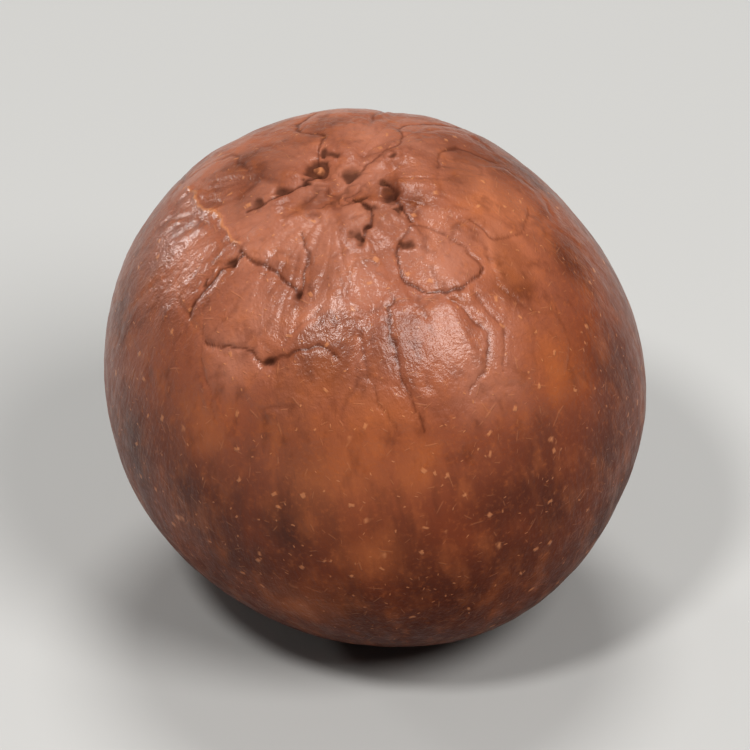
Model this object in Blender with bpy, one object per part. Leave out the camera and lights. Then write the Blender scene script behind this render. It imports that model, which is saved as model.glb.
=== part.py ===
"""A macadamia nut in its shell, husked and dried: one woody ball, creased round the scar at its top.

Run with blender --background --python part.py, or from Blender's text editor. Metres, +Z up. The nut rests
on a small flat spot round the origin, and its front faces -Y. A direction from the nut's middle is given as
a bearing, counted from the front towards +X, and a height above the level, both in degrees.
"""

import math

import bmesh
import bpy
from mathutils import Vector

MM = 0.001

# The plain ball under all the unevenness, and how finely it is divided.
NUT_WIDTH = 24.4 * MM
NUT_DEPTH = 24.2 * MM
NUT_HEIGHT = 24.4 * MM
BALL_SUBDIVISIONS = 5

# The foot is worn level over a small round spot. The unevenness above starts a little way out from it.
REST_SPOT_RADIUS = 2.6 * MM
REST_SPOT_SNAP = 0.48 * MM
SAME_POINT = 0.01 * MM
FOOT_PLAIN_TO = 10
FOOT_UNEVEN_FROM = 50

# The scar at the top, where the nut hung in its husk, leans a little to the front and the left.
SCAR_BEARING = -35
SCAR_HEIGHT = 77
SCAR_DIMPLE_DEPTH = 0.5 * MM
SCAR_DIMPLE_RADIUS = 2.0 * MM

# Shallow folds run down from the scar and die out above the nut's widest part.
# Two slower waves, as strength and waves in a turn, keep them from standing evenly apart.
FOLD_COUNT = 8
FOLD_DEPTH = 0.16 * MM
FOLD_START = 9
FOLD_END = 52
FOLD_WANDER = ((0.9, 2), (1.0, 3))

# The pore that the root would grow through is low on the back, and a faint groove joins it to the scar.
PORE_BEARING = 160
PORE_HEIGHT = -56
PORE_NUB_HEIGHT = 0.18 * MM
PORE_NUB_RADIUS = 1.3 * MM
GROOVE_DEPTH = 0.18 * MM
GROOVE_HALF_WIDTH = 1.0 * MM
GROOVE_FADE = 17

# What keeps the shell from being a true ball: bearing, height, rise, and spread in degrees.
SWELLS = (
    (-115, 30, 0.45 * MM, 38),  # full left shoulder
    (117, 33, -0.60 * MM, 34),  # flatter right shoulder
    (88, -6, 0.15 * MM, 24),  # right cheek
    (40, -44, 0.50 * MM, 30),  # full lower right
    (-40, -42, -0.22 * MM, 30),  # flatter lower left
    (178, 12, -0.22 * MM, 36),  # flatter back
    (-20, 22, 0.15 * MM, 26),  # front cheek
)


def direction(bearing, height):
    """The unit vector at a bearing from the front and a height above the level."""
    b, h = math.radians(bearing), math.radians(height)
    return Vector((math.sin(b) * math.cos(h), -math.cos(b) * math.cos(h), math.sin(h)))


SCAR = direction(SCAR_BEARING, SCAR_HEIGHT)
PORE = direction(PORE_BEARING, PORE_HEIGHT)
FOOT = Vector((0, 0, -1))


def degrees_between(way, other):
    return math.degrees(way.angle(other))


def bell(distance, spread):
    """1 at no distance, falling smoothly to nothing past about two spreads."""
    return math.exp(-((distance / spread) ** 2))


def smooth_step(low, high, value):
    """0 below low, 1 above high, and a smooth rise between them."""
    t = min(1.0, max(0.0, (value - low) / (high - low)))
    return t * t * (3 - 2 * t)


def ball_radius(way):
    """The distance from the middle to the plain ball in this direction."""
    return 1 / math.hypot(2 * way.x / NUT_WIDTH, 2 * way.y / NUT_DEPTH, 2 * way.z / NUT_HEIGHT)


def swell_relief(way):
    """How far the shell's broad swells and flats stand out from the plain ball."""
    return sum(
        rise * bell(degrees_between(way, direction(bearing, height)), spread)
        for bearing, height, rise, spread in SWELLS
    )


def scar_relief(way, radius):
    """The dimple of the scar, and the folds that run down from it."""
    away = way.angle(SCAR)
    dimple = -SCAR_DIMPLE_DEPTH * bell(away * radius, SCAR_DIMPLE_RADIUS)
    right = SCAR.cross(Vector((0, 1, 0))).normalized()
    ahead = right.cross(SCAR)
    turn = math.atan2(way.dot(ahead), way.dot(right))
    wander = sum(strength * math.sin(waves * turn) for strength, waves in FOLD_WANDER)
    wave = math.cos(FOLD_COUNT * turn + wander)
    inner = smooth_step(0, FOLD_START, math.degrees(away))
    outer = 1 - smooth_step(FOLD_START, FOLD_END, math.degrees(away))
    return dimple + FOLD_DEPTH * wave * inner * outer


def pore_relief(way, radius):
    """The nub round the pore, and the groove along the shortest line to it from the scar."""
    nub = PORE_NUB_HEIGHT * bell(way.angle(PORE) * radius, PORE_NUB_RADIUS)
    across = SCAR.cross(PORE).normalized()
    on_line = (way - across * way.dot(across)).normalized()
    past_scar = degrees_between(SCAR, on_line)
    past_pore = degrees_between(PORE, on_line)
    if past_scar + past_pore > degrees_between(SCAR, PORE) + 1:
        return nub
    ends = smooth_step(0, GROOVE_FADE, past_scar) * smooth_step(0, GROOVE_FADE, past_pore)
    beside = math.asin(way.dot(across)) * radius
    return nub - GROOVE_DEPTH * ends * bell(beside, GROOVE_HALF_WIDTH)


def shell_point(way):
    """The point of the shell in this direction from the nut's middle."""
    radius = ball_radius(way)
    uneven = swell_relief(way) + scar_relief(way, radius) + pore_relief(way, radius)
    from_foot = degrees_between(way, FOOT)
    return way * (radius + uneven * smooth_step(FOOT_PLAIN_TO, FOOT_UNEVEN_FROM, from_foot))


def cut_rest_spot(mesh):
    """Cuts the foot off level where the plain ball is as wide as the rest spot."""
    level = -NUT_HEIGHT / 2 * math.sqrt(1 - (2 * REST_SPOT_RADIUS / NUT_WIDTH) ** 2)
    for vert in mesh.verts:
        out = vert.co.xy.length
        if vert.co.z < 0 and abs(out - REST_SPOT_RADIUS) < REST_SPOT_SNAP:
            vert.co.xy *= REST_SPOT_RADIUS / out
            vert.co.z = level
    bmesh.ops.bisect_plane(
        mesh,
        geom=mesh.verts[:] + mesh.edges[:] + mesh.faces[:],
        dist=SAME_POINT,
        plane_co=(0, 0, level),
        plane_no=(0, 0, 1),
        clear_inner=True,
    )
    bmesh.ops.remove_doubles(mesh, verts=mesh.verts, dist=SAME_POINT)
    rim = [edge for edge in mesh.edges if edge.is_boundary]
    bmesh.ops.contextual_create(mesh, geom=rim)
    bmesh.ops.recalc_face_normals(mesh, faces=mesh.faces)
    for face in mesh.faces:
        face.smooth = True
    for edge in rim:
        edge.smooth = False


def stand_on_origin(mesh):
    """Moves the nut so that the origin is below the middle of its width and depth, at its foot."""
    xs, ys, zs = zip(*(vert.co for vert in mesh.verts))
    middle = Vector(((min(xs) + max(xs)) / 2, (min(ys) + max(ys)) / 2, min(zs)))
    bmesh.ops.translate(mesh, verts=mesh.verts, vec=-middle)


def make_shell_material():
    material = bpy.data.materials.new("woody_shell")
    material.use_nodes = True
    shader = material.node_tree.nodes["Principled BSDF"]
    shader.inputs["Base Color"].default_value = (0.29, 0.092, 0.036, 1)
    shader.inputs["Roughness"].default_value = 0.42
    shader.inputs["Metallic"].default_value = 0
    return material


def make_nut(collection):
    mesh = bmesh.new()
    bmesh.ops.create_icosphere(mesh, subdivisions=BALL_SUBDIVISIONS, radius=1)
    for vert in mesh.verts:
        vert.co = shell_point(vert.co.normalized())
    cut_rest_spot(mesh)
    stand_on_origin(mesh)
    data = bpy.data.meshes.new("nut_in_shell")
    mesh.to_mesh(data)
    mesh.free()
    data.materials.append(make_shell_material())
    nut = bpy.data.objects.new("nut_in_shell", data)
    collection.objects.link(nut)


def main():
    for obj in list(bpy.data.objects):
        bpy.data.objects.remove(obj)
    collection = bpy.data.collections.new("macadamia_nut")
    bpy.context.scene.collection.children.link(collection)
    make_nut(collection)


main()
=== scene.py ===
# %% [markdown]
# # A macadamia nut in its shell
#
# This lesson gives a whole macadamia nut its looks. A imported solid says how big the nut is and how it
# stands. The lesson draws a much finer skin over that solid, presses the wrinkles of the stem scar into it,
# and paints it with nodes. Each cell needs the ones above it.

# %% The tools, and the frame that everything stands in
import math

import bmesh
import bpy
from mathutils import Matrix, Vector


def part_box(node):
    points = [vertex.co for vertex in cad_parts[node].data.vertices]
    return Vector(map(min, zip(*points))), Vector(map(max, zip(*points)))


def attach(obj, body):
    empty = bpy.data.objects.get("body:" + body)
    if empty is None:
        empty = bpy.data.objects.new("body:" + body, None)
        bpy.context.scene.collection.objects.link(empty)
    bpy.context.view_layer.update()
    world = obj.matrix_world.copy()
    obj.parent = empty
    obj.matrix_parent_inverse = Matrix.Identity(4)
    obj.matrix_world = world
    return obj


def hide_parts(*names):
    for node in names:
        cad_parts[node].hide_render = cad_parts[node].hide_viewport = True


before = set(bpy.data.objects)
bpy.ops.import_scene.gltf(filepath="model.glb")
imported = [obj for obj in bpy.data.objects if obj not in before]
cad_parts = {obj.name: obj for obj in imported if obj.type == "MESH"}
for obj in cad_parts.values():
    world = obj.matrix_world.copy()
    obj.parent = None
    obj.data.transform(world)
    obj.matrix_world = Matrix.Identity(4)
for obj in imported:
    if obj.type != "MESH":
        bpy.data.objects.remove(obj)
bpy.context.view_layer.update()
MM = 0.001
low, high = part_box("nut_in_shell")
print("the nut is", [round(side / MM, 2) for side in high - low], "mm wide, deep and high")

# %% [markdown]
# ## Places on the nut
#
# A nut has no corners to measure from, so places are told by directions from its middle. It hung in its husk
# by the scar at its top, and all that grew on it grew round the line from the scar through the middle. So
# most places are two angles: how far away from the scar, and how far turned round it, counted from the front
# towards the right. The front faces -Y, and +X is on the right.

# %% The middle, the scar and the pore
# The scar and the pore are each told by a bearing from the front and a height above the level, in degrees.
SCAR_AT = (-35, 77)
PORE_AT = (160, -56)
middle = (low + high) / 2
NUT_RADIUS = (high.x - low.x) / 2
RADIUS_MM = NUT_RADIUS / MM


def direction(bearing, height):
    """The unit vector at a bearing from the front and a height above the level, in degrees."""
    b, h = math.radians(bearing), math.radians(height)
    return Vector((math.sin(b) * math.cos(h), -math.cos(b) * math.cos(h), math.sin(h)))


scar = direction(*SCAR_AT)
pore = direction(*PORE_AT)
front = direction(0, 0)
scar_front = (front - scar * scar.dot(front)).normalized()
scar_right = scar.cross(scar_front)


def from_scar(turn, away):
    """The unit vector that many degrees away from the scar, turned that far round it."""
    t, a = math.radians(turn), math.radians(away)
    level = scar_front * math.cos(t) + scar_right * math.sin(t)
    return scar * math.cos(a) + level * math.sin(a)


def in_scar_frame(way):
    """The same direction, told by its parts to the scar's right, behind the scar and along it."""
    return Vector((way.dot(scar_right), -way.dot(scar_front), way.dot(scar)))


print("the scar leans", round(math.degrees(scar.angle(Vector((0, 0, 1))))), "degrees from upright")
print("the pore is", round(math.degrees(scar.angle(pore))), "degrees away from the scar")

# %% [markdown]
# ## Small helpers for node trees
#
# A node tree is easiest to read in code when each line says one thing. These helpers add a node, set its
# values and join its sockets. The same ones serve Geometry Nodes, which shape the shell, and shader nodes,
# which paint it, because both kinds of tree share their arithmetic and their textures.


# %% Helpers for nodes and arithmetic
def fill(tree, node, inputs):
    """Gives a node its inputs. One that is given a socket is linked to it, and any other is set."""
    for key, value in inputs.items():
        if isinstance(value, bpy.types.NodeSocket):
            tree.links.new(value, node.inputs[key])
        else:
            node.inputs[key].default_value = value
    return node


def put(tree, kind, inputs=None, **settings):
    """Adds a node, with its settings first, because they can change which inputs it has."""
    node = tree.nodes.new(kind)
    for name, value in settings.items():
        setattr(node, name, value)
    return fill(tree, node, inputs or {})


def calc(tree, operation, *values):
    """One step of arithmetic on numbers."""
    return put(tree, "ShaderNodeMath", dict(enumerate(values)), operation=operation).outputs[0]


def chain(tree, operation, first, *others):
    """The same step again and again: the sum or the product of several numbers, for instance."""
    for value in others:
        first = calc(tree, operation, first, value)
    return first


def vec(tree, operation, *values, output="Vector"):
    """One step of arithmetic on vectors. A dot product or a distance comes out as Value."""
    return put(tree, "ShaderNodeVectorMath", dict(enumerate(values)), operation=operation).outputs[output]


def scaled(tree, vector, factor):
    """A vector made longer or shorter by one factor."""
    node = put(tree, "ShaderNodeVectorMath", {"Vector": vector, "Scale": factor}, operation="SCALE")
    return node.outputs["Vector"]


def parts(tree, vector):
    """The X, Y and Z parts of a vector."""
    return put(tree, "ShaderNodeSeparateXYZ", {"Vector": vector}).outputs


print("helpers for arithmetic are ready")


# %% Helpers for soft edges and textures
def ease(tree, value, start, end, at_start=0.0, at_end=1.0):
    """Goes smoothly from one value to another while its input goes from start to end."""
    limits = {"From Min": start, "From Max": end, "To Min": at_start, "To Max": at_end}
    node = put(tree, "ShaderNodeMapRange", {"Value": value, **limits}, interpolation_type="SMOOTHSTEP")
    return node.outputs["Result"]


def bell(tree, distance, spread):
    """1 at no distance, and falling smoothly to nothing past about two spreads."""
    spreads = calc(tree, "DIVIDE", distance, spread)
    return calc(tree, "EXPONENT", chain(tree, "MULTIPLY", spreads, spreads, -1.0))


def noise(tree, place, rate, detail=2.0, roughness=0.5):
    """Cloudy noise, about a half on average. The rate is in waves per unit of the place."""
    values = {"Vector": place, "Scale": rate, "Detail": detail, "Roughness": roughness}
    return put(tree, "ShaderNodeTexNoise", values).outputs["Fac"]


def uneven(tree, place, rate, detail=2.0, roughness=0.5):
    """The same noise, from about minus a half to a half."""
    return calc(tree, "SUBTRACT", noise(tree, place, rate, detail, roughness), 0.5)


def warp(tree, place, rate, strength):
    """Pushes a place about with slow noise, so that whatever is drawn there wanders."""
    cloud = put(tree, "ShaderNodeTexNoise", {"Vector": place, "Scale": rate, "Detail": 1.0})
    push = vec(tree, "SUBTRACT", cloud.outputs["Color"], (0.5, 0.5, 0.5))
    return vec(tree, "ADD", place, scaled(tree, push, strength))


def drawn_out(tree, place, squeeze):
    """A place squeezed along the line from the scar, so that what is drawn there comes out longer."""
    return vec(tree, "MULTIPLY", place, (1.0, 1.0, squeeze))


print("helpers for textures are ready")

# %% [markdown]
# ## The marks that this nut is known by
#
# As the husk dries it shrinks on the shell, and the shell is left puckered and pitted where the stem went
# in. A rule could scatter all of its marks, but then this would be any nut. So the long creases are listed
# one by one: a strength, then a few points, each as its turn and its away. A strength below nothing makes a
# raised fibre instead. The lines are poly splines here, and the node tree turns them into smooth ones that
# pass through the same points. The pits, the largest flecks and the patches of colour are listed too. Only the
# small creases, too many to tell apart, follow a rule, and they come later.

# %% The listed creases
CREASES = (
    (0.9, ((-88, 20), (-95, 14), (-109, 9), (-149, 9))),
    (-0.9, ((-117, 40), (-104, 33), (-91, 28), (-70, 25))),
    (0.9, ((-66, 26), (-44, 24), (-23, 27))),
    (0.9, ((-62, 26), (-64, 34), (-62, 43))),
    (0.8, ((-51, 45), (-38, 42), (-27, 43), (-19, 39), (-12, 38), (-5, 41))),
    (0.8, ((-40, 14), (-23, 21), (-23, 27))),
    (1.0, ((50, 3), (46, 9), (14, 15))),
    (0.9, ((35, 20), (28, 27), (35, 33), (46, 36), (58, 36))),
    (0.6, ((35, 20), (53, 19), (62, 24), (60, 32), (58, 36))),
    (0.7, ((19, 30), (13, 37), (14, 45), (14, 52), (16, 59))),
    (0.5, ((2, 36), (4, 45), (7, 53), (10, 59))),
    (0.6, ((40, 37), (42, 45), (38, 51), (30, 55))),
    (0.5, ((49, 39), (47, 48), (41, 56))),
    (0.6, ((78, 29), (73, 35), (83, 41), (95, 43))),
    (0.4, ((66, 54), (63, 60), (57, 65))),
    (0.4, ((-55, 43), (-46, 52), (-39, 59))),
    (1.0, ((100, 10), (71, 13), (56, 18))),
    (0.8, ((-145, 10), (-168, 20), (-160, 31), (-172, 40))),
    (0.7, ((150, 8), (140, 19), (152, 30), (143, 44), (147, 55))),
    (0.6, ((112, 22), (125, 30), (118, 40))),
    (0.6, ((-120, 24), (-132, 33), (-124, 45), (-130, 54))),
)


def draw_creases():
    """A curve object with one spline for each crease, on a ball one unit in radius, in the scar's frame.

    The radius of a point holds one more than the strength, because a radius can't be below nothing.
    """
    data = bpy.data.curves.new("crease_lines", "CURVE")
    data.dimensions = "3D"
    for strength, places in CREASES:
        spline = data.splines.new("POLY")
        spline.points.add(len(places) - 1)
        for point, (turn, away) in zip(spline.points, places):
            point.co = (*in_scar_frame(from_scar(turn, away)), 1)
            point.radius = 1 + strength
    lines = bpy.data.objects.new("crease_lines", data)
    bpy.context.scene.collection.objects.link(lines)
    return lines


crease_lines = draw_creases()
print(len(CREASES), "creases are drawn by hand")

# %% The pits of the scar
# Each is its turn, its away and its radius in millimetres. Pits close together run into one.
PITS = (
    (-122, 9, 0.26),
    (-109, 9, 0.32),
    (-100, 13, 0.32),
    (-93, 18, 0.34),
    (60, 4, 0.38),
    (48, 8, 0.38),
    (25, 12, 0.26),
    (12, 14, 0.30),
    (78, 11, 0.42),
    (99, 10, 0.32),
    (62, 14, 0.26),
    (40, 20, 0.34),
    (-24, 27, 0.32),
    (-64, 28, 0.32),
    (-66, 35, 0.28),
    (-27, 43, 0.28),
    (160, 6, 0.38),
    (-170, 13, 0.30),
    (130, 16, 0.28),
)
print(len(PITS), "pits are placed by hand")

# %% The flecks and the patches of colour
# A fleck is its turn and its away, and a patch has its radius in millimetres too. The nub is a pale stub of
# the stem, left standing in a pit of its own, and its pale paint is partly a painted highlight.
NUB = (-148, 10)
FLECKS = (
    (44, 75), (40, 88), (-1, 77), (-49, 65), (-4, 58), (1, 87), (-27, 89), (-81, 87), (83, 60), (58, 46),
    (-48, 88), (-20, 97), (25, 93), (14, 84), (120, 66), (-160, 74), (165, 52), (-118, 92), (96, 84),
)
PATCHES = {
    "warm": (
        # The first warm patch, at turn 90 and away 34, is partly an orange facet and partly a painted
        # highlight.
        (90, 34, 2.2), (68, 40, 1.4), (56, 63, 1.4), (-6, 64, 2.5), (7, 54, 1.6), (10, 67, 1.3),
        (-42, 61, 1.3), (-12, 45, 1.4), (-2, 86, 1.4), (-165, 58, 2.4), (132, 72, 2.4), (-112, 80, 2.4),
        (100, 100, 2.6), (-20, 106, 1.6),
    ),
    "pink": (
        (-34, 32, 1.5), (-58, 20, 1.6), (46, 28, 1.5), (3, 21, 1.2), (-14, 31, 1.2), (-40, 44, 1.5),
        (37, 54, 2.0), (-83, 37, 1.5), (-129, 37, 2.0), (159, 22, 1.6), (93, 34, 1.7), (68, 38, 1.2),
        (-170, 36, 2.0),
    ),
    # The large dark patches far from the scar are partly the shell's mottling and partly painted shade on the
    # lower sides.
    "dark": (
        (31, 82, 2.4), (-44, 81, 2.6), (16, 102, 2.6), (-88, 60, 2.0), (-66, 78, 2.2), (-22, 79, 1.3),
        (-29, 92, 2.0), (70, 78, 2.4), (60, 89, 2.4), (41, 90, 2.2), (26, 97, 2.2), (84, 54, 1.5),
        (-127, 28, 0.9), (-104, 20, 1.1), (-87, 6, 1.0), (67, 16, 1.0), (78, 9, 1.1), (42, 11, 0.8),
        (62, 45, 0.8), (175, 84, 2.6), (-140, 98, 2.8), (118, 50, 1.8), (60, 112, 2.8),
    ),
}
patch_count = sum(len(places) for places in PATCHES.values())
print(len(FLECKS), "flecks and", patch_count, "patches are placed by hand")

# %% [markdown]
# ## The skin
#
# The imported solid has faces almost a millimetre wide, too coarse for wrinkles. Subdividing it would make the
# faces finer everywhere alike, but the wrinkles crowd round the scar. So the skin is a new ball, made of an
# even grid on the six sides of a cube, and a spherical zoom, which keeps small squares square, draws its
# faces together round the scar. Each point is then dropped straight onto the solid, so the skin has the
# shape and size that the solid says.

# %% The node tree and its named inputs
# A crowding of 0 would leave the faces even. The seed moves the place that all the noise is read at.
tree = bpy.data.node_groups.new("nut_skin", "GeometryNodeTree")
tree.is_modifier = True
SKIN_INPUTS = {
    "Geometry": ("NodeSocketGeometry", None),
    "Crease Lines": ("NodeSocketObject", crease_lines),
    "Faces Across": ("NodeSocketInt", 125),
    "Crowding": ("NodeSocketFloat", 0.45),
    "Crease Depth": ("NodeSocketFloat", 0.08),
    "Crease Width": ("NodeSocketFloat", 0.11),
    "Plate Size": ("NodeSocketFloat", 2.8),
    "Plate Depth": ("NodeSocketFloat", 0.035),
    "Plate Tilt": ("NodeSocketFloat", 0.06),
    "Radial Depth": ("NodeSocketFloat", 0.05),
    "Pucker Depth": ("NodeSocketFloat", 0.15),
    "Pucker Radius": ("NodeSocketFloat", 2.6),
    "Waviness": ("NodeSocketFloat", 0.16),
    "Grain Height": ("NodeSocketFloat", 0.03),
    "Seed": ("NodeSocketFloat", 4.0),
    "Finish": ("NodeSocketMaterial", None),
}
for name, (kind, value) in SKIN_INPUTS.items():
    tree.interface.new_socket(name, in_out="INPUT", socket_type=kind)
tree.interface.new_socket("Geometry", in_out="OUTPUT", socket_type="NodeSocketGeometry")
given = put(tree, "NodeGroupInput").outputs
print("the skin has", len(SKIN_INPUTS), "inputs, and its depths and widths are in millimetres")

# %% A ball of even squares
# A cube's grid is crowded at its corners once it is blown up to a ball. The tangent spreads it evenly first.
corners = calc(tree, "ADD", given["Faces Across"], 1)
cube_inputs = {"Size": (2, 2, 2), "Vertices X": corners, "Vertices Y": corners, "Vertices Z": corners}
cube = put(tree, "GeometryNodeMeshCube", cube_inputs).outputs["Mesh"]
here = put(tree, "GeometryNodeInputPosition").outputs["Position"]
even = vec(tree, "TANGENT", scaled(tree, here, math.pi / 4))
ball = parts(tree, vec(tree, "NORMALIZE", even))
print("the ball is a grid of", 6 * SKIN_INPUTS["Faces Across"][1] ** 2, "squares")

# %% Drawing the squares together round the scar
# A point at height z goes to height (z + c) / (1 + c z), where c is the crowding.
crowding = given["Crowding"]
divisor = calc(tree, "MULTIPLY_ADD", crowding, ball["Z"], 1.0)
square_root = calc(tree, "SQRT", calc(tree, "SUBTRACT", 1.0, calc(tree, "MULTIPLY", crowding, crowding)))
sideways = calc(tree, "DIVIDE", square_root, divisor)
crowded_parts = {
    "X": calc(tree, "MULTIPLY", ball["X"], sideways),
    "Y": calc(tree, "MULTIPLY", ball["Y"], sideways),
    "Z": calc(tree, "DIVIDE", calc(tree, "ADD", ball["Z"], crowding), divisor),
}
crowded = put(tree, "ShaderNodeCombineXYZ", crowded_parts).outputs["Vector"]


def remember(geometry, name, value, kind="FLOAT"):
    """Keeps a value at each point under a name, for later nodes and for the paint."""
    inputs = {"Geometry": geometry, "Name": name, "Value": value}
    return put(tree, "GeometryNodeStoreNamedAttribute", inputs, data_type=kind).outputs["Geometry"]


def recall(name, kind="FLOAT"):
    """A value that was kept at each point."""
    node = put(tree, "GeometryNodeInputNamedAttribute", {"Name": name}, data_type=kind)
    return node.outputs["Attribute"]


ball_mesh = remember(cube, "scar_way", crowded, "FLOAT_VECTOR")
print("each point keeps its direction in the scar's frame as scar_way")

# %% Dropping the ball onto the solid
scar_way = recall("scar_way", "FLOAT_VECTOR")
way_parts = parts(tree, scar_way)
rightward = scaled(tree, tuple(scar_right), way_parts["X"])
backward = scaled(tree, tuple(-scar_front), way_parts["Y"])
scarward = scaled(tree, tuple(scar), way_parts["Z"])
way = vec(tree, "ADD", vec(tree, "ADD", rightward, backward), scarward)
SMOOTHING_LEVEL = 2
to_smooth = {"Mesh": given["Geometry"], "Level": SMOOTHING_LEVEL}
smooth_solid = put(tree, "GeometryNodeSubdivisionSurface", to_smooth)
DROP_FROM = 2
DROP_LENGTH = 3
drop = {
    "Target Geometry": smooth_solid.outputs["Mesh"],
    "Source Position": vec(tree, "ADD", scaled(tree, way, DROP_FROM * NUT_RADIUS), tuple(middle)),
    "Ray Direction": scaled(tree, way, -1.0),
    "Ray Length": DROP_LENGTH * NUT_RADIUS,
}
landing = put(tree, "GeometryNodeRaycast", drop).outputs["Hit Position"]
skin = put(tree, "GeometryNodeSetPosition", {"Geometry": ball_mesh, "Position": landing})
print("the skin lies on the solid")

# %% [markdown]
# ## Wrinkles
#
# Wrinkles could be sculpted one by one, or left to a bump in the finish. But a bump doesn't show in a piece's
# outline or in its mesh, so the relief is real, and is worked out as one number at each point: how many
# millimetres it stands out or in. It is a sum of what made it. The listed creases are narrow cuts. The
# skin between them is broken into plates, as old varnish is. Each plate tilts its own way, and plates grow
# longer and fainter down the sides. Fine folds run out from the scar, as from the knot of a purse, and the
# scar itself is pitted. Below the middle little is left but a slow waviness and a fine grain, and the foot
# stays flat.

# %% How far each point is from the nearest crease
curve = put(tree, "GeometryNodeObjectInfo", {"Object": given["Crease Lines"]}).outputs["Geometry"]
curve = put(tree, "GeometryNodeCurveSplineType", {"Curve": curve}, spline_type="CATMULL_ROM").outputs["Curve"]
BEAD_GAP_MM = 0.1
bead_inputs = {"Curve": curve, "Length": BEAD_GAP_MM / RADIUS_MM}
beads = put(tree, "GeometryNodeCurveToPoints", bead_inputs, mode="LENGTH").outputs["Points"]
place = vec(tree, "ADD", scaled(tree, scar_way, RADIUS_MM), given["Seed"])


def wander(from_way, waves_per_mm, strength):
    """A direction pushed about by a small share of the nut's radius."""
    return warp(tree, from_way, rate=waves_per_mm * RADIUS_MM, strength=strength)


looked_at = wander(wander(scar_way, waves_per_mm=0.9, strength=0.065), waves_per_mm=2.6, strength=0.018)
nearest = put(tree, "GeometryNodeSampleNearest", {"Geometry": beads, "Sample Position": looked_at})


def at_bead(value, kind):
    """A value of the nearest bead."""
    inputs = {"Geometry": beads, "Value": value, "Index": nearest.outputs["Index"]}
    return put(tree, "GeometryNodeSampleIndex", inputs, data_type=kind).outputs["Value"]


bead_way = vec(tree, "NORMALIZE", at_bead(here, "FLOAT_VECTOR"))
bead_radius = at_bead(put(tree, "GeometryNodeInputRadius").outputs["Radius"], "FLOAT")
bead_strength = calc(tree, "SUBTRACT", bead_radius, 1.0)
apart = vec(tree, "DISTANCE", vec(tree, "NORMALIZE", looked_at), bead_way, output="Value")
apart_mm = calc(tree, "MULTIPLY", apart, RADIUS_MM)
print("each point knows its nearest crease")

# %% The cut, the hollow round it and its two lips
HOLLOW_SPREAD = 5.0
LIP_SPREAD = 1.6
LIP_GAP = 2.5


def crease_widths(count):
    """That many widths of a crease, in millimetres."""
    return calc(tree, "MULTIPLY", given["Crease Width"], count)


def across_crease(distance, spread):
    """A bell that is as strong as the nearest crease."""
    return calc(tree, "MULTIPLY", bell(tree, distance, spread), bead_strength)


cut = across_crease(apart_mm, given["Crease Width"])
hollow = across_crease(apart_mm, crease_widths(HOLLOW_SPREAD))
lip = across_crease(calc(tree, "SUBTRACT", apart_mm, crease_widths(LIP_GAP)), crease_widths(LIP_SPREAD))
print("the drawn creases are cuts with soft lips")

# %% Plates, which tilt, and which grow longer and fainter down the sides
away = calc(tree, "DEGREES", calc(tree, "ARCCOSINE", way_parts["Z"]))
away_mm = calc(tree, "MULTIPLY", calc(tree, "RADIANS", away), RADIUS_MM)


def plates(size, longer, border, fade):
    """Irregular plates: how deep each point is in a cut, how high its plate tilts it, and its shade."""
    long_place = drawn_out(tree, warp(tree, place, rate=0.5, strength=1.3), squeeze=1.0 / longer)
    rate = calc(tree, "DIVIDE", 1.0, size)
    inputs = {"Vector": long_place, "Scale": rate}
    edge = put(tree, "ShaderNodeTexVoronoi", inputs, feature="DISTANCE_TO_EDGE").outputs["Distance"]
    edge_mm = calc(tree, "MULTIPLY", edge, size)
    cell = put(tree, "ShaderNodeTexVoronoi", inputs).outputs
    lean = vec(tree, "SUBTRACT", cell["Color"], (0.5, 0.5, 0.5))
    inside = vec(tree, "SUBTRACT", long_place, cell["Position"])
    tilt = vec(tree, "DOT_PRODUCT", inside, lean, output="Value")
    broken = ease(tree, noise(tree, place, rate=0.7), start=0.40, end=0.58)
    border_cut = chain(tree, "MULTIPLY", bell(tree, edge_mm, border), fade, broken)
    raised = chain(tree, "MULTIPLY", tilt, ease(tree, edge_mm, start=0.0, end=3 * border), fade)
    inner = ease(tree, edge_mm, start=0.0, end=5 * border)
    shade = chain(tree, "MULTIPLY", parts(tree, lean)["X"], inner, fade)
    return border_cut, raised, shade


SMALL_PLATE = 1.1
fade = ease(tree, away, start=42, end=92, at_start=1.0, at_end=0.1)
plate_cut, plate_tilt, plate_shade = plates(given["Plate Size"], longer=2.2, border=0.13, fade=fade)
small_fade = ease(tree, away, start=30, end=100, at_start=0.9, at_end=0.25)
small_cut, small_tilt, small_shade = plates(SMALL_PLATE, longer=1.6, border=0.10, fade=small_fade)
print("two sizes of plate are ready")

# %% Folds that run out from the scar
# Noise that changes mostly with the turn, and little with the away, makes lines that run out from the scar.
FOLD_TURN = 2.6
FOLD_AWAY = 1.4
flat_way = vec(tree, "NORMALIZE", vec(tree, "MULTIPLY", scar_way, (1.0, 1.0, 0.0)))
fold_place = vec(tree, "ADD", scaled(tree, flat_way, FOLD_TURN), scaled(tree, scar_way, FOLD_AWAY))
fold = calc(tree, "ABSOLUTE", uneven(tree, fold_place, rate=1.6, detail=1.0))
fold_fade = calc(tree, "MULTIPLY", ease(tree, away, start=4, end=16), ease(tree, away, start=50, end=16))
radial_cut = calc(tree, "MULTIPLY", ease(tree, fold, start=0.10, end=0.0), fold_fade)
print("folds run out from the scar")

# %% The scar's ragged middle, and its small crinkles
RAGGED_MM = 2.6
CRINKLE_SHARE = 0.55
ragged = calc(tree, "MULTIPLY", uneven(tree, place, rate=0.8), RAGGED_MM)
pucker_gap = calc(tree, "MAXIMUM", calc(tree, "ADD", away_mm, ragged), 0.0)
pucker = bell(tree, pucker_gap, given["Pucker Radius"])
crinkle_place = warp(tree, place, rate=0.9, strength=1.0)
crinkle = calc(tree, "ABSOLUTE", uneven(tree, crinkle_place, rate=0.75))
crinkle_cut = ease(tree, crinkle, start=0.07, end=0.0)
pit = chain(tree, "MULTIPLY", crinkle_cut, pucker, CRINKLE_SHARE)
print("the scar's middle is crinkled")

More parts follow.
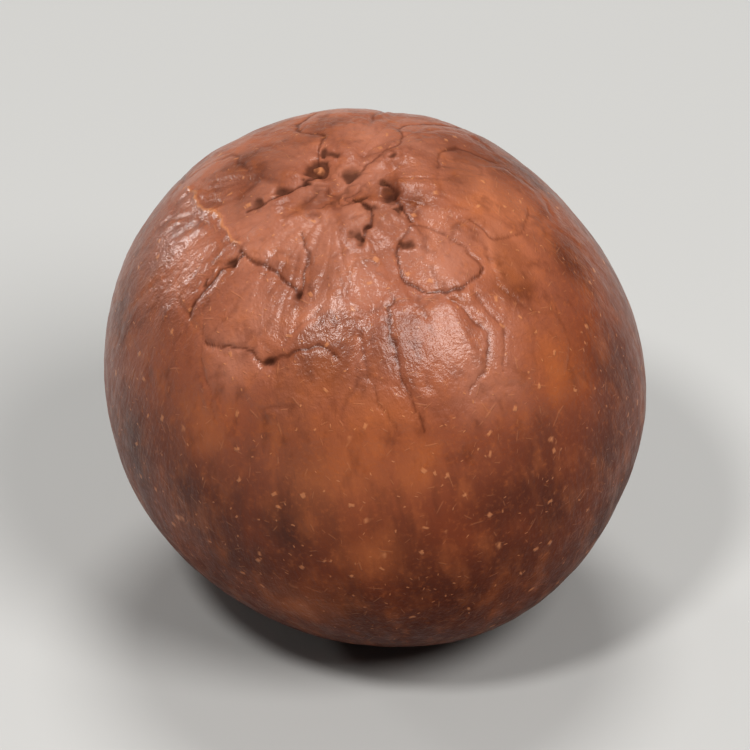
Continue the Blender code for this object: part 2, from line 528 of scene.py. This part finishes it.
# %% The pits placed by hand, and the nub in its own
NUB_RING = 0.4
NUB_RING_SPREAD = 0.24
ragged_way = wander(looked_at, waves_per_mm=1.8, strength=0.075)


def gap_mm(from_way, turn, from_middle):
    """How many millimetres each point is from a place told by its turn and its away."""
    there = tuple(in_scar_frame(from_scar(turn, from_middle)))
    return calc(tree, "MULTIPLY", vec(tree, "DISTANCE", from_way, there, output="Value"), RADIUS_MM)


for turn, from_middle, radius in PITS:
    pit = calc(tree, "MAXIMUM", pit, bell(tree, gap_mm(ragged_way, turn, from_middle), radius))
nub_gap = gap_mm(wander(looked_at, waves_per_mm=1.5, strength=0.035), *NUB)
nub_ring = bell(tree, calc(tree, "SUBTRACT", nub_gap, NUB_RING), NUB_RING_SPREAD)
pit = calc(tree, "MAXIMUM", pit, nub_ring)
nub = ease(tree, nub_gap, start=0.34, end=0.1)
print("the scar has its pits")

# %% Patches of colour
cloudy_way = wander(wander(scar_way, waves_per_mm=0.35, strength=0.22), waves_per_mm=1.2, strength=0.06)
tints = {}
for name, places in PATCHES.items():
    bells = [bell(tree, gap_mm(cloudy_way, turn, away_from), radius) for turn, away_from, radius in places]
    tints[name] = chain(tree, "MAXIMUM", *bells)
print("the patches are", ", ".join(tints))

# %% Waviness and grain
# Both are drawn out along the line from the scar, as the shell's fibres are.
waviness = uneven(tree, drawn_out(tree, place, squeeze=0.5), rate=0.32)
grain = uneven(tree, drawn_out(tree, place, squeeze=0.6), rate=1.5, detail=3.0, roughness=0.6)
print("the waviness and the grain are ready")

# %% The seam and the pore at the back
# The shell splits along the seam when the nut sprouts, and the shoot comes out at the pore, so the seam runs
# from the scar to the pore, down one side only.
PORE_RIM = 0.75
RIM_SPREAD = 0.16
SEAM_SPREAD = 0.16
SEAM_WANDER_MM = 1.2
seam_across = in_scar_frame(scar.cross(pore).normalized())
seam_side = vec(tree, "DOT_PRODUCT", scar_way, tuple(seam_across), output="Value")
seam_wander = calc(tree, "MULTIPLY", uneven(tree, place, rate=0.3), SEAM_WANDER_MM)
seam_gap = calc(tree, "MULTIPLY_ADD", seam_side, RADIUS_MM, seam_wander)
half_way = in_scar_frame((scar + pore).normalized())
behind = vec(tree, "DOT_PRODUCT", scar_way, tuple(half_way), output="Value")
pore_gap = vec(tree, "DISTANCE", scar_way, tuple(in_scar_frame(pore)), output="Value")
pore_mm = calc(tree, "MULTIPLY", pore_gap, RADIUS_MM)
seam_ends = chain(
    tree,
    "MULTIPLY",
    ease(tree, away, start=15, end=35),
    ease(tree, pore_mm, start=0.8, end=2.2),
    ease(tree, behind, start=0.1, end=0.4),
)
seam = calc(tree, "MULTIPLY", bell(tree, seam_gap, SEAM_SPREAD), seam_ends)
pore_ring = bell(tree, calc(tree, "SUBTRACT", pore_mm, PORE_RIM), RIM_SPREAD)
pore_spot = ease(tree, pore_mm, start=PORE_RIM, end=0.35)
print("the seam and the pore are ready")

# %% Adding the relief up
# Each row is a mark, and how far it stands out at its strongest: a share of a named depth, or millimetres.
NUB_MM = 0.08
SEAM_MM = -0.09
PORE_RING_MM = 0.05
PORE_MM = -0.06
heights = (
    (cut, given["Crease Depth"], -1.0),
    (lip, given["Crease Depth"], 0.03),
    (hollow, given["Crease Depth"], -0.25),
    (plate_cut, given["Plate Depth"], -1.0),
    (plate_tilt, given["Plate Tilt"], 1.0),
    (small_cut, given["Plate Depth"], -0.35),
    (small_tilt, given["Plate Tilt"], 0.55),
    (radial_cut, given["Radial Depth"], -1.0),
    (pit, given["Pucker Depth"], -1.0),
    (nub, NUB_MM),
    (waviness, given["Waviness"]),
    (grain, given["Grain Height"]),
    (seam, SEAM_MM),
    (pore_ring, PORE_RING_MM),
    (pore_spot, PORE_MM),
)
relief = chain(tree, "ADD", *[chain(tree, "MULTIPLY", *factors) for factors in heights])
print("the relief is a sum of", len(heights), "heights")

# %% Pushing the skin in and out, but leaving its foot flat
FOOT_EDGE = 12.5
FOOT_BLEND = 30
down = calc(tree, "MULTIPLY", parts(tree, way)["Z"], -1.0)
from_foot = calc(tree, "DEGREES", calc(tree, "ARCCOSINE", down))
off_foot = ease(tree, from_foot, start=FOOT_EDGE, end=FOOT_BLEND)
relief_metres = chain(tree, "MULTIPLY", relief, off_foot, MM)
push = {"Geometry": skin.outputs["Geometry"], "Offset": scaled(tree, way, relief_metres)}
wrinkled = put(tree, "GeometryNodeSetPosition", push).outputs["Geometry"]
print("the skin is wrinkled, and flat within", FOOT_EDGE, "degrees of straight down")

# %% What the skin keeps for the paint
# A small cut gets fainter painted shade than a long crease, by its share here.
FLECK_RADIUS = 0.22
SMALL_SHADE = 0.5
cut_shares = ((plate_cut, 0.4), (small_cut, 0.2), (radial_cut, 0.3), (seam, 0.6))
fainter = [calc(tree, "MULTIPLY", mark, share) for mark, share in cut_shares]
kept = {"crease": chain(tree, "MAXIMUM", cut, *fainter)}
kept.update({"pucker": pucker, "pit": pit, "pore": pore_spot, **tints})
fleck_bells = [bell(tree, gap_mm(ragged_way, *spot), FLECK_RADIUS) for spot in FLECKS]
kept["fibre"] = chain(tree, "MAXIMUM", calc(tree, "MULTIPLY", cut, -1.0), nub, *fleck_bells)
both_shades = calc(tree, "ADD", plate_shade, calc(tree, "MULTIPLY", small_shade, SMALL_SHADE))
near_scar = ease(tree, away, start=30, end=62, at_start=1.0, at_end=0.15)
kept["plate"] = calc(tree, "MULTIPLY", both_shades, near_scar)
for name, value in kept.items():
    wrinkled = remember(wrinkled, name, value)
print("the skin keeps these for the paint:", ", ".join(kept))

# %% [markdown]
# ## Fitting the box
#
# Lips and plates may stand a hair above the solid. The real nut is as big as the solid says, so the finished
# skin is drawn in by that hair along each axis, until it fills the solid's box exactly. Keeping the relief
# below the solid would do too, but then the skin would come out a little too small. The tree then ends by
# making everything real and giving it its finish.

# %% Fitting, and the end of the tree
own_box = put(tree, "GeometryNodeBoundBox", {"Geometry": wrinkled}).outputs
own_size = vec(tree, "SUBTRACT", own_box["Max"], own_box["Min"])
share = vec(tree, "DIVIDE", vec(tree, "SUBTRACT", here, own_box["Min"]), own_size)
fitted = vec(tree, "MULTIPLY_ADD", share, tuple(high - low), tuple(low))
end = put(tree, "GeometryNodeSetPosition", {"Geometry": wrinkled, "Position": fitted}).outputs["Geometry"]
end = put(tree, "GeometryNodeSetShadeSmooth", {"Geometry": end}).outputs["Geometry"]
end = put(tree, "GeometryNodeRealizeInstances", {"Geometry": end}).outputs["Geometry"]
end = put(tree, "GeometryNodeSetMaterial", {"Geometry": end, "Material": given["Finish"]}).outputs["Geometry"]
put(tree, "NodeGroupOutput", {"Geometry": end})
print("the tree has", len(tree.nodes), "nodes")

# %% [markdown]
# ## The shell's finish
#
# The shell is hard wood. Its colour is never even: it is mottled, faint streaks run down from the scar, and
# it is pinker towards the scar and deeper towards the foot. Part of that is painted light: a painted
# lightening of the top near the scar, and painted shade on the lower half. Some large dark patches low on
# the sides are painted shade too, and the nub and one warm patch are partly painted highlights. Husking
# leaves it with small pale flecks and short pale fibres. The creases are darker, which is painted shade, the
# scar is dull, and the pits in it are dark brown. A picture wrapped round the nut could hold all this, but it
# would blur close up and show a join. So the colours are mixed from noise, and from what the skin keeps at
# each of its points.


# %% The paints
def paint(red, green, blue):
    """A colour from 0 to 255, as on a screen, turned into the plain light values that shaders use."""
    shares = [channel / 255 for channel in (red, green, blue)]
    return (*(s / 12.92 if s <= 0.04045 else ((s + 0.055) / 1.055) ** 2.4 for s in shares), 1.0)


# Besides their own colours, the deep brown paints shade on the lower half and in the creases, and the scar's
# pink paints light on the top.
DEEP_BROWN = paint(68, 25, 8)
NUT_BROWN = paint(127, 59, 27)
WARM_TAN = paint(186, 108, 60)
SCAR_PINK_AND_TOP_LIGHT = paint(189, 128, 104)
PALE_FIBRE = paint(206, 138, 94)
PIT_BROWN = paint(54, 28, 18)
PORE_CREAM = paint(206, 168, 124)
print("seven paints are mixed")


# %% Short strokes, for fibres and flecks
def make_strokes():
    """A group that draws one short straight stroke in some of the cells of the shell's surface.

    Each stroke has its own direction. Both the stroke and the place are seen from straight above the shell,
    by leaving out what points outwards, so a stroke is whole even where its cell's middle is under the skin.
    """
    group = bpy.data.node_groups.new("strokes", "ShaderNodeTree")
    group.interface.new_socket("Place", in_out="INPUT", socket_type="NodeSocketVector")
    for name in ("Per mm", "Length", "Width", "Share"):
        group.interface.new_socket(name, in_out="INPUT", socket_type="NodeSocketFloat")
    group.interface.new_socket("Mask", in_out="OUTPUT", socket_type="NodeSocketFloat")
    have = put(group, "NodeGroupInput").outputs
    cell = put(group, "ShaderNodeTexVoronoi", {"Vector": have["Place"], "Scale": have["Per mm"]}).outputs
    outward = vec(group, "NORMALIZE", have["Place"])

    def from_above(vector):
        """What is left of a vector when its outward part is taken away."""
        out = scaled(group, outward, vec(group, "DOT_PRODUCT", vector, outward, output="Value"))
        return vec(group, "SUBTRACT", vector, out)

    offset = from_above(vec(group, "SUBTRACT", have["Place"], cell["Position"]))
    any_way = vec(group, "SUBTRACT", cell["Color"], (0.5, 0.5, 0.5))
    heading = vec(group, "NORMALIZE", from_above(any_way))
    ahead = vec(group, "DOT_PRODUCT", offset, heading, output="Value")
    off_line = vec(group, "SUBTRACT", offset, scaled(group, heading, ahead))
    aside = vec(group, "LENGTH", off_line, output="Value")
    lot = put(group, "ShaderNodeTexWhiteNoise", {"Vector": cell["Position"]}).outputs["Value"]
    half_length = calc(group, "MULTIPLY", have["Length"], calc(group, "MULTIPLY_ADD", lot, 0.6, 0.2))
    full_end = calc(group, "MULTIPLY", half_length, 0.5)
    ends = ease(group, calc(group, "ABSOLUTE", ahead), start=half_length, end=full_end)
    full_side = calc(group, "MULTIPLY", have["Width"], 0.3)
    sides = ease(group, aside, start=have["Width"], end=full_side)
    chosen = calc(group, "LESS_THAN", lot, have["Share"])
    put(group, "NodeGroupOutput", {"Mask": chain(group, "MULTIPLY", ends, sides, chosen)})
    return group


strokes = make_strokes()
print("the strokes group has", len(strokes.nodes), "nodes")


# %% Helpers for laying paint on
def blend_colours(tree, share, first, second):
    """Mixes the second colour into the first by its share."""
    node = put(tree, "ShaderNodeMix", {0: share, 6: first, 7: second}, data_type="RGBA")
    return node.outputs[2]


def kept_value(tree, name, output="Fac"):
    """A value that the skin keeps at each of its points."""
    return put(tree, "ShaderNodeAttribute", attribute_name=name).outputs[output]


def scatter(tree, place, layers):
    """Several layers of strokes on top of each other."""
    masks = []
    for per_mm, length, width, share in layers:
        values = {"Place": place, "Per mm": per_mm, "Length": length, "Width": width, "Share": share}
        masks.append(put(tree, "ShaderNodeGroup", values, node_tree=strokes).outputs["Mask"])
    return chain(tree, "MAXIMUM", *masks)


print("helpers for the paint are ready")


# %% The shell's colour
def shell_colour(tree, place, skin, fibres, flecks):
    """Mottled brown, with each effect laid over the ones before it by its share."""
    patch_place = warp(tree, drawn_out(tree, place, squeeze=0.4), rate=0.25, strength=2.0)
    patches = noise(tree, patch_place, rate=0.22)
    mottle = noise(tree, drawn_out(tree, place, squeeze=0.5), rate=0.9, detail=3.0, roughness=0.6)
    streaks = noise(tree, drawn_out(tree, place, squeeze=0.12), rate=1.3, roughness=0.6)
    speckle = noise(tree, place, rate=4.0, roughness=0.6)
    up_nut = parts(tree, place)["Z"]
    browner = ease(tree, patches, start=0.25, end=0.6, at_start=0.35)
    brown = blend_colours(tree, browner, DEEP_BROWN, NUT_BROWN)
    layers = (
        # Painted shade: darker away from the scar, over a somewhat deeper brown that the shell has there.
        (ease(tree, up_nut, start=2.0, end=-9.0, at_end=0.85), DEEP_BROWN),
        # Painted light: lighter and pinker towards the scar on the top, over the dusty pink of the scar end.
        (ease(tree, up_nut, start=1.0, end=10.5, at_end=0.42), SCAR_PINK_AND_TOP_LIGHT),
        # Partly painted shade: the large dark patches on the lower sides.
        (calc(tree, "MULTIPLY", skin["dark"], 0.65), DEEP_BROWN),
        (calc(tree, "MULTIPLY", skin["pink"], 0.6), SCAR_PINK_AND_TOP_LIGHT),
        # The warm patches hold one painted highlight among the shell's own warm tone.
        (calc(tree, "MULTIPLY", skin["warm"], 0.45), WARM_TAN),
        (ease(tree, mottle, start=0.45, end=0.8, at_end=0.35), WARM_TAN),
        (ease(tree, streaks, start=0.5, end=0.8, at_end=0.35), DEEP_BROWN),
        (ease(tree, speckle, start=0.5, end=0.8, at_end=0.25), WARM_TAN),
        (ease(tree, skin["plate"], start=0.0, end=0.4, at_end=0.35), SCAR_PINK_AND_TOP_LIGHT),
        (ease(tree, skin["plate"], start=0.0, end=-0.4, at_end=0.3), DEEP_BROWN),
        (calc(tree, "MULTIPLY", fibres, 0.2), PALE_FIBRE),
        (calc(tree, "MULTIPLY", flecks, 0.6), PALE_FIBRE),
        # The pale nub among these is partly a painted highlight.
        (ease(tree, skin["fibre"], start=0.2, end=0.9, at_end=0.7), PALE_FIBRE),
        # Painted shade: darker in the creases, the small cuts and the seam.
        (ease(tree, skin["crease"], start=0.1, end=0.9, at_end=0.7), DEEP_BROWN),
        (ease(tree, skin["pit"], start=0.1, end=0.85, at_end=0.75), PIT_BROWN),
        (skin["pore"], PORE_CREAM),
    )
    for share, layer_paint in layers:
        brown = blend_colours(tree, share, brown, layer_paint)
    return brown


print("the shell's colour is laid on from the mottled brown up to the pore")

# %% [markdown]
# ## Gloss and grain
#
# Handling rubs a shell to a soft polish, and this one is polished mostly on its upper half. One gloss for
# all of it would be simpler, but then the shell would look either dusty or wet. So there are two: rough wood,
# and a thin coat over it, which is strongest on the upper half and missing in the pits. The wood's own gloss
# is weak, because on a pale floor a stronger one lays a grey veil over the dark lower half. Wood and coat
# each have their own fine relief, and the coat's is shallower, so that its highlights stay together.


# %% How the shell shines
def shell_shine(tree, place, skin):
    """How rough the wood is, and how much of the coat is left on it."""
    gloss_cloud = noise(tree, place, rate=1.4, detail=3.0, roughness=0.6)
    gloss = ease(tree, gloss_cloud, start=0.3, end=0.7, at_start=0.32, at_end=0.5)
    scar_dull = ease(tree, skin["pucker"], start=0.1, end=0.8, at_end=0.66)
    pit_dull = ease(tree, skin["pit"], start=0.1, end=0.5, at_end=0.8)
    dull = calc(tree, "MAXIMUM", scar_dull, pit_dull)
    upper_half = ease(tree, parts(tree, place)["Z"], start=-5.0, end=5.0)
    off_scar = ease(tree, skin["pucker"], start=0.1, end=0.7, at_start=1.0, at_end=0.25)
    off_pits = ease(tree, skin["pit"], start=0.0, end=0.4, at_start=0.5, at_end=0.0)
    coat = chain(tree, "MULTIPLY", upper_half, off_scar, off_pits)
    return {"Roughness": calc(tree, "MAXIMUM", gloss, dull), "Coat Weight": coat}


print("the shell shines by its wood and by a thin coat")


# %% The shell's fine relief
def shell_grain(tree, place, fibres, flecks):
    """The wood's tooth and grooves, on which fibres and flecks stand a little proud."""
    tooth = noise(tree, place, rate=5.0, detail=3.0, roughness=0.6)
    groove_place = drawn_out(tree, warp(tree, place, rate=0.8, strength=0.5), squeeze=0.2)
    grooves = noise(tree, groove_place, rate=2.6, detail=3.0, roughness=0.65)
    wood = calc(tree, "MULTIPLY_ADD", grooves, 2.2, tooth)
    marks = calc(tree, "ADD", calc(tree, "MULTIPLY", fibres, 0.4), calc(tree, "MULTIPLY", flecks, 0.6))
    wood_relief = {"Height": calc(tree, "ADD", wood, marks), "Strength": 0.6, "Distance": 0.05 * MM}
    coat_relief = {"Height": wood, "Strength": 0.45, "Distance": 0.045 * MM}
    wood_bump = put(tree, "ShaderNodeBump", wood_relief)
    coat_bump = put(tree, "ShaderNodeBump", coat_relief)
    return {"Normal": wood_bump.outputs["Normal"], "Coat Normal": coat_bump.outputs["Normal"]}


print("the shell's relief is a few hundredths of a millimetre deep")


# %% The shell's material
# Each layer of strokes has its cells per millimetre, its length and width in millimetres, and its share.
FIBRE_LAYERS = ((0.42, 1.0, 0.05, 0.5), (0.62, 0.7, 0.045, 0.6), (0.95, 0.45, 0.035, 0.5))
FLECK_LAYERS = ((0.55, 0.34, 0.19, 0.36), (1.3, 0.16, 0.1, 0.22))


def make_shell_finish():
    """The finish of the whole shell."""
    material = bpy.data.materials.new("woody_shell")
    material.use_nodes = True
    tree = material.node_tree
    place = scaled(tree, kept_value(tree, "scar_way", "Vector"), RADIUS_MM)
    skin = {name: kept_value(tree, name) for name in kept}
    fibres = scatter(tree, warp(tree, place, rate=0.6, strength=0.3), FIBRE_LAYERS)
    flecks = scatter(tree, warp(tree, place, rate=4.0, strength=0.16), FLECK_LAYERS)
    looks = {"Base Color": shell_colour(tree, place, skin, fibres, flecks)}
    looks.update(shell_shine(tree, place, skin))
    looks.update(shell_grain(tree, place, fibres, flecks))
    looks.update({"Specular IOR Level": 0.12, "Coat Roughness": 0.22})
    fill(tree, tree.nodes["Principled BSDF"], looks)
    return material


shell_finish = make_shell_finish()
print("the shell's finish has", len(shell_finish.node_tree.nodes), "nodes")

# %% [markdown]
# ## Growing the skin
#
# The tree runs as a modifier on a copy of the solid, whose loose triangles are merged first so that the
# subdivision inside the tree is smooth. The modifier could stay live, but a plain mesh is what other programs
# read. So the result is kept as a plain mesh, and the copy is thrown away.


# %% Running the tree
MERGE_WITHIN = 0.01 * MM


def merged_solid():
    """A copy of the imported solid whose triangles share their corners."""
    mesh = bmesh.new()
    mesh.from_mesh(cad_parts["nut_in_shell"].data)
    bmesh.ops.remove_doubles(mesh, verts=mesh.verts, dist=MERGE_WITHIN)
    data = bpy.data.meshes.new("solid_copy")
    mesh.to_mesh(data)
    mesh.free()
    host = bpy.data.objects.new("solid_copy", data)
    bpy.context.scene.collection.objects.link(host)
    return host


def grow_skin(host):
    """Runs the tree on the host, and returns the skin as a plain mesh object."""
    modifier = host.modifiers.new("skin", "NODES")
    modifier.node_group = tree
    values = {name: value for name, (kind, value) in SKIN_INPUTS.items()}
    values["Finish"] = shell_finish
    for socket in tree.interface.items_tree:
        if socket.in_out == "INPUT" and values[socket.name] is not None:
            modifier[socket.identifier] = values[socket.name]
    mesh = bpy.data.meshes.new_from_object(host.evaluated_get(bpy.context.evaluated_depsgraph_get()))
    piece = bpy.data.objects.new("macadamia_shell", mesh)
    bpy.context.scene.collection.objects.link(piece)
    for helper in (host, crease_lines):
        bpy.data.objects.remove(helper)
    return piece


shell = grow_skin(merged_solid())
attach(shell, "root")
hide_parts("nut_in_shell")
print("the shell has", len(shell.data.polygons), "faces")

# %% [markdown]
# ## Floor, light and camera
#
# A pale floor and round soft lamps show a satin shell best, because each lamp is seen in it as one soft
# highlight. The broad key lamp is on the right, and a smaller one on the left gives a second, tighter
# highlight. A low lamp behind on the left draws the edge, and a high one behind lights the top. A bright room
# would light the nut evenly too, but it would lay a grey veil over the dark brown. So the room is dim, the
# floor isn't quite white, and a look with more contrast keeps the shell's darks deep.


# %% The floor
FLOOR_WIDTH = 4.0


def make_floor():
    """A wide pale floor with a dull finish."""
    bpy.ops.mesh.primitive_plane_add(size=FLOOR_WIDTH)
    floor = bpy.context.object
    floor.name = "floor"
    material = bpy.data.materials.new("pale_floor")
    material.use_nodes = True
    values = {"Base Color": paint(190, 189, 186), "Roughness": 0.8}
    fill(material.node_tree, material.node_tree.nodes["Principled BSDF"], values)
    floor.data.materials.append(material)
    return floor


make_floor()
print("the floor is", FLOOR_WIDTH, "m wide")


# %% The lamps
# Each lamp has its bearing and height in degrees, its width in metres, and its watts.
LAMP_AWAY = 0.5
LAMPS = {
    "key_softbox": (41, 49, 0.22, 1.4),
    "left_softbox": (-34, 57, 0.08, 0.95),
    "rim_softbox": (-127, 13, 0.06, 0.4),
    "top_softbox": (175, 70, 0.2, 1.0),
}


def make_softbox(name, bearing, height, width, watts):
    """A round soft lamp that faces the nut."""
    light = bpy.data.lights.new(name, "AREA")
    light.shape = "DISK"
    light.size = width
    light.energy = watts
    lamp = bpy.data.objects.new(name, light)
    lamp.location = middle + direction(bearing, height) * LAMP_AWAY
    lamp.rotation_euler = (middle - lamp.location).to_track_quat("-Z", "Y").to_euler()
    bpy.context.scene.collection.objects.link(lamp)


for name, values in LAMPS.items():
    make_softbox(name, *values)
print(len(LAMPS), "soft lamps face the nut")

# %% The room's light, and the picture's contrast
ROOM_LIGHT = {"Color": (0.9, 0.92, 0.95, 1), "Strength": 0.06}
world = bpy.data.worlds.new("studio")
world.use_nodes = True
fill(world.node_tree, world.node_tree.nodes["Background"], ROOM_LIGHT)
bpy.context.scene.world = world
bpy.context.scene.view_settings.view_transform = "Standard"
bpy.context.scene.view_settings.look = "Medium High Contrast"
print("the room is dim, and the darks stay deep")

# %% The camera
CAMERA_HEIGHT = 35
CAMERA_AWAY = 0.45
SEEN_WIDTH = 0.034
lens = bpy.data.cameras.new("camera")
camera = bpy.data.objects.new("camera", lens)
bpy.context.scene.collection.objects.link(camera)
camera.location = middle + direction(0, CAMERA_HEIGHT) * CAMERA_AWAY
camera.rotation_euler = (middle - camera.location).to_track_quat("-Z", "Y").to_euler()
lens.lens = lens.sensor_width * CAMERA_AWAY / SEEN_WIDTH
lens.clip_start = 0.01
bpy.context.scene.camera = camera
print("the camera has a", round(lens.lens), "mm lens")

# %% Finishing
print("the scene is ready")
